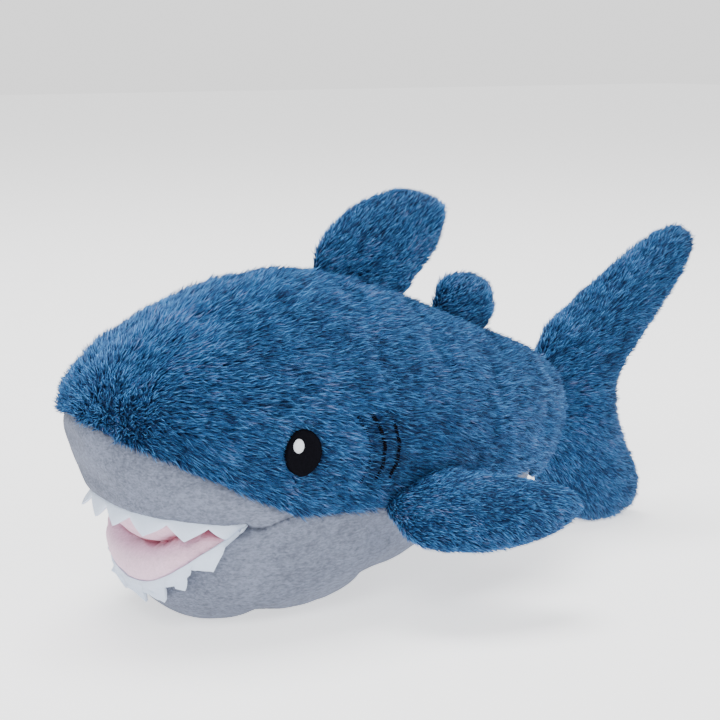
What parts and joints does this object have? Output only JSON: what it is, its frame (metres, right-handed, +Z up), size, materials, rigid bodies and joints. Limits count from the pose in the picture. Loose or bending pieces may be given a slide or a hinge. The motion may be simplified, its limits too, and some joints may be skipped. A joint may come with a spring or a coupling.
{
  "type": "plush toy",
  "caption": "Stuffed plush shark with a long-pile back, a short-pile belly, an open padded mouth with felt teeth, and padded fins sewn on along their seams.",
  "frame": {"origin": "middle of the whole toy's length and width, at the height of the surface it rests on", "axes": "+Z up, +Y towards the tail, -Y towards the nose, +X towards the shark's left side"},
  "size_m": [0.1704, 0.3005, 0.1533],
  "materials": {
    "blue_long_pile": "long soft pile, mottled blue",
    "grey_short_pile": "short soft pile, light grey",
    "pink_short_pile": "short soft pile, pale pink",
    "white_felt": "felt, bluish white",
    "black_thread": "satin-stitched thread, black",
    "white_thread": "satin-stitched thread, white",
    "grey_thread": "sewing thread, grey",
    "fibre_fill": "polyester fibre fill"
  },
  "bodies": {
    "torso": {"body_stuffing": "fibre_fill", "back_panel_left": "blue_long_pile", "back_panel_right": "blue_long_pile", "snout_panel": "grey_short_pile", "mouth_roof_lining": "pink_short_pile", "upper_teeth": "white_felt", "belly_panel": "grey_short_pile", "closing_stitches": "grey_thread", "eye_left": "black_thread", "eye_right": "black_thread", "eye_spot_left": "white_thread", "eye_spot_right": "white_thread", "gill_stitches_left": "black_thread", "gill_stitches_right": "black_thread"},
    "jaw": {"jaw_stuffing": "fibre_fill", "chin_panel": "grey_short_pile", "mouth_floor_lining": "pink_short_pile", "lower_teeth": "white_felt"},
    "tail": {"tail_stuffing": "fibre_fill", "tail_panel_left": "blue_long_pile", "tail_panel_right": "blue_long_pile"},
    "dorsal_fin": {"dorsal_fin_stuffing": "fibre_fill", "dorsal_fin_left": "blue_long_pile", "dorsal_fin_right": "blue_long_pile"},
    "rear_fin": {"rear_fin_stuffing": "fibre_fill", "rear_fin_left": "blue_long_pile", "rear_fin_right": "blue_long_pile"},
    "side_fin_left": {"side_fin_stuffing_left": "fibre_fill", "side_fin_top_left": "blue_long_pile", "side_fin_under_left": "blue_long_pile"},
    "side_fin_right": {"side_fin_stuffing_right": "fibre_fill", "side_fin_top_right": "blue_long_pile", "side_fin_under_right": "blue_long_pile"}
  },
  "joints": [
    {"name": "jaw_fold", "type": "hinge", "parent": "torso", "child": "jaw", "pos_m": [0, -0.09819, 0.0405], "axis": [1, 0, 0], "range_deg": [-2, 4], "stiffness_Nm_per_rad": 0.12},
    {"name": "tail_sway", "type": "hinge", "parent": "torso", "child": "tail", "pos_m": [0, 0.07235, 0.06], "axis": [0, 0, 1], "range_deg": [-22, 22], "stiffness_Nm_per_rad": 0.12},
    {"name": "dorsal_fin_flop", "type": "hinge", "parent": "torso", "child": "dorsal_fin", "pos_m": [0, -0.02676, 0.11946], "axis": [0, 0.9482, -0.3177], "range_deg": [-28, 28], "stiffness_Nm_per_rad": 0.05},
    {"name": "rear_fin_flop", "type": "hinge", "parent": "torso", "child": "rear_fin", "pos_m": [0, 0.02374, 0.09964], "axis": [0, 0.9218, -0.3876], "range_deg": [-28, 28], "stiffness_Nm_per_rad": 0.02},
    {"name": "side_fin_flap_left", "type": "hinge", "parent": "torso", "child": "side_fin_left", "pos_m": [0.04797, -0.0315, 0.04678], "axis": [0.0718, -0.9544, -0.2899], "range_deg": [-20, 35], "stiffness_Nm_per_rad": 0.06},
    {"name": "side_fin_flap_right", "type": "hinge", "parent": "torso", "child": "side_fin_right", "pos_m": [-0.04797, -0.0315, 0.04678], "axis": [0.0718, 0.9544, 0.2899], "range_deg": [-20, 35], "stiffness_Nm_per_rad": 0.06}
  ]
}
